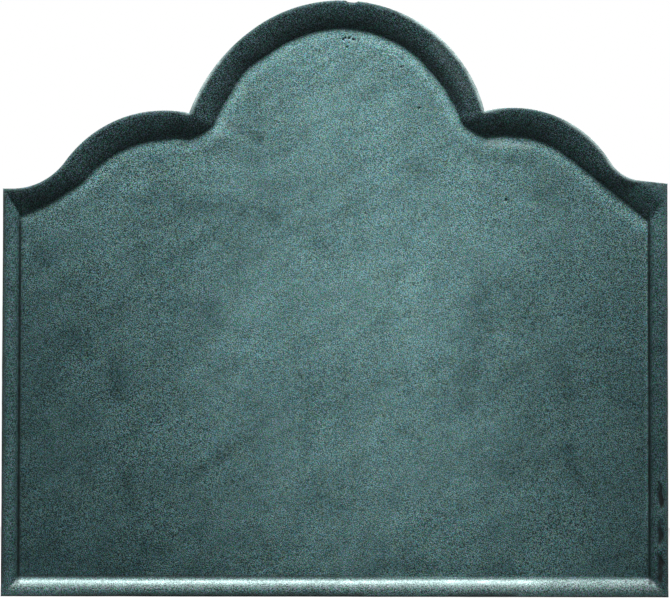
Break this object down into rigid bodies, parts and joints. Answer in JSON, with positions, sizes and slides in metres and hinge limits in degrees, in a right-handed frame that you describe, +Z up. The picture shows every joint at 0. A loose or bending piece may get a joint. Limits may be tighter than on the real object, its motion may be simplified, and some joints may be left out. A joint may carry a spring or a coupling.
{
  "type": "fireback",
  "caption": "Plain cast-iron fireback with an arched, shouldered top and a moulded rim, held upright by two bolt-on cast legs behind.",
  "frame": {"origin": "middle of the plate's lower edge, halfway along its width and halfway through its 22 mm thickness, on the hearth", "axes": "+X along the width, to the right as seen from the front; +Y backwards, towards the wall; +Z up. The moulded front faces -Y"},
  "size_m": [0.61, 0.148, 0.5475],
  "materials": {
    "plate_iron": "satin blackened, with a sandy cast grain",
    "leg_iron": "rough blackened",
    "bolt_steel": "black oxide",
    "washer_zinc": "dull zinc plate"
  },
  "bodies": {
    "root": {"cast_plate": "plate_iron", "left_leg": "leg_iron", "right_leg": "leg_iron", "bolt_left_lower": "bolt_steel", "bolt_left_upper": "bolt_steel", "bolt_right_lower": "bolt_steel", "bolt_right_upper": "bolt_steel", "flat_washer_left_lower": "washer_zinc", "flat_washer_left_upper": "washer_zinc", "flat_washer_right_lower": "washer_zinc", "flat_washer_right_upper": "washer_zinc", "spring_washer_left_lower": "washer_zinc", "spring_washer_left_upper": "washer_zinc", "spring_washer_right_lower": "washer_zinc", "spring_washer_right_upper": "washer_zinc"}
  },
  "joints": []
}
